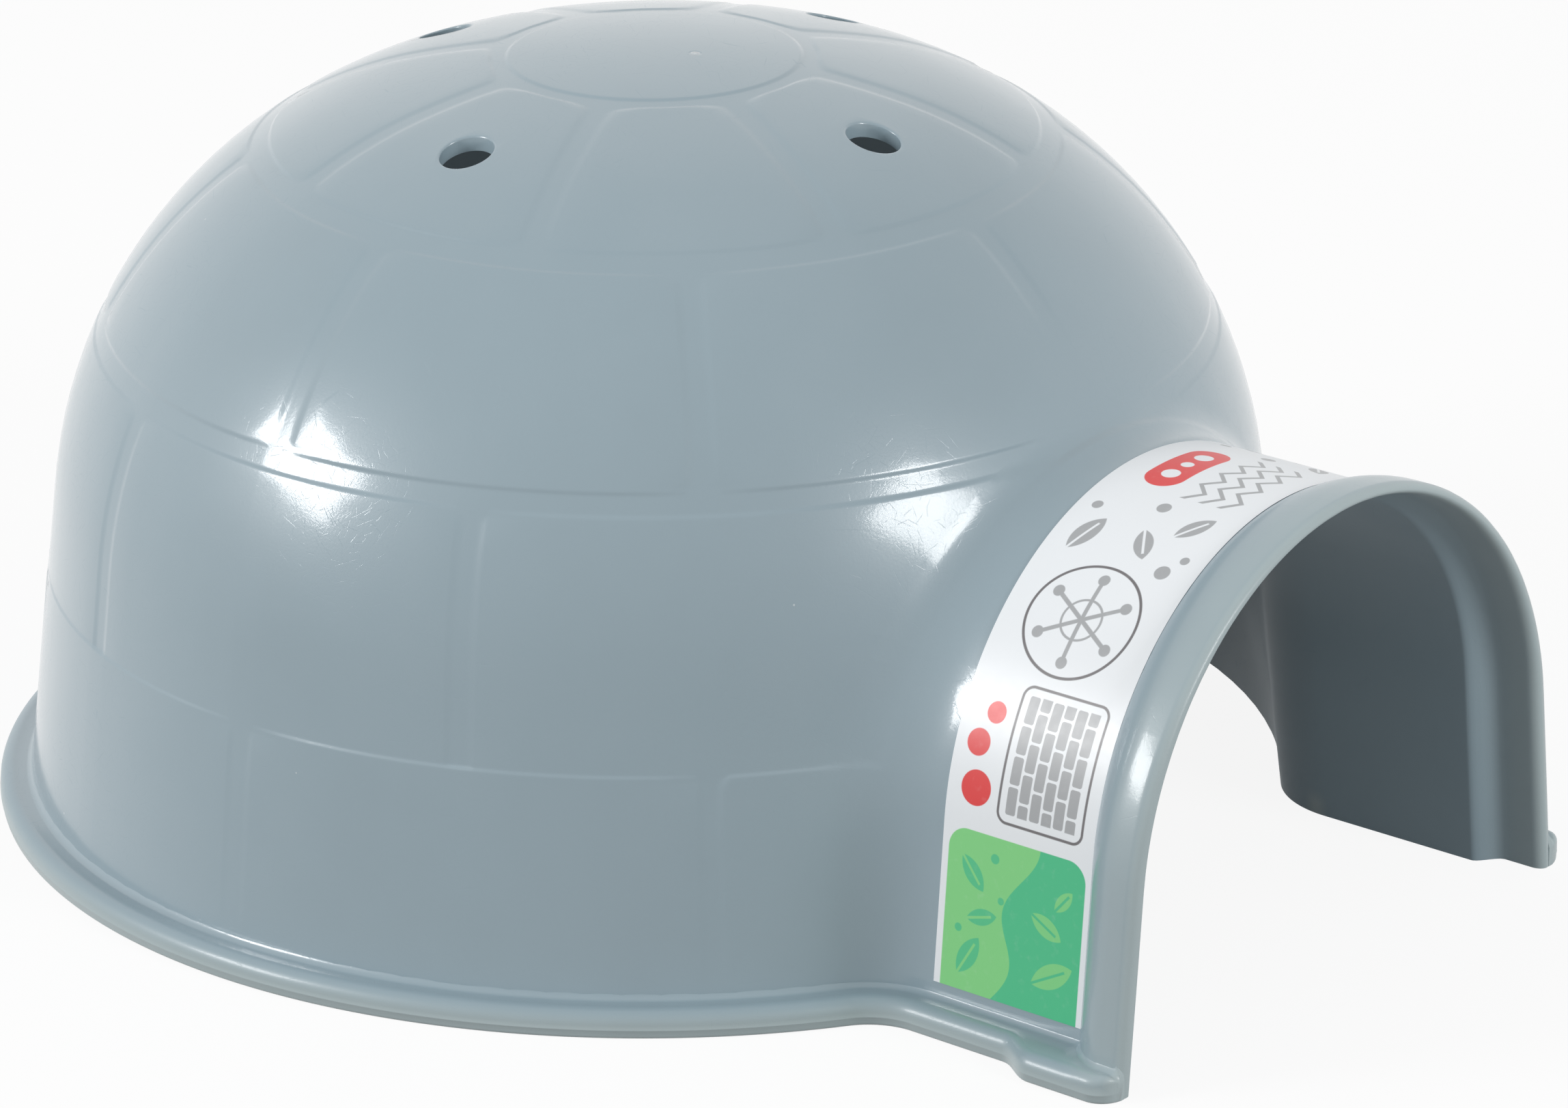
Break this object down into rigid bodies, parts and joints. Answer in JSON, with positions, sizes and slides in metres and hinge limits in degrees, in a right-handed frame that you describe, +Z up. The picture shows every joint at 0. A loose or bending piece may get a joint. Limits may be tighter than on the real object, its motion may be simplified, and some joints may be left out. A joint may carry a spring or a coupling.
{
  "type": "rodent igloo",
  "caption": "Moulded grey-blue plastic igloo hide for small rodents: snow-block courses pressed into a dome, an arched entrance tunnel, and a printed label wrapped over the tunnel.",
  "frame": {"origin": "on the ground, at the middle of the footprint", "axes": "+Y runs from the tunnel's mouth to the back of the dome, +X to the right seen from the front of the mouth, +Z up"},
  "size_m": [0.165, 0.187, 0.094],
  "materials": {
    "blue_plastic": "glossy moulded plastic with fine handling marks",
    "coated_label": "satin coated label with a printed design"
  },
  "bodies": {
    "root": {"igloo_shell": "blue_plastic", "wrap_label": "coated_label"}
  },
  "joints": []
}
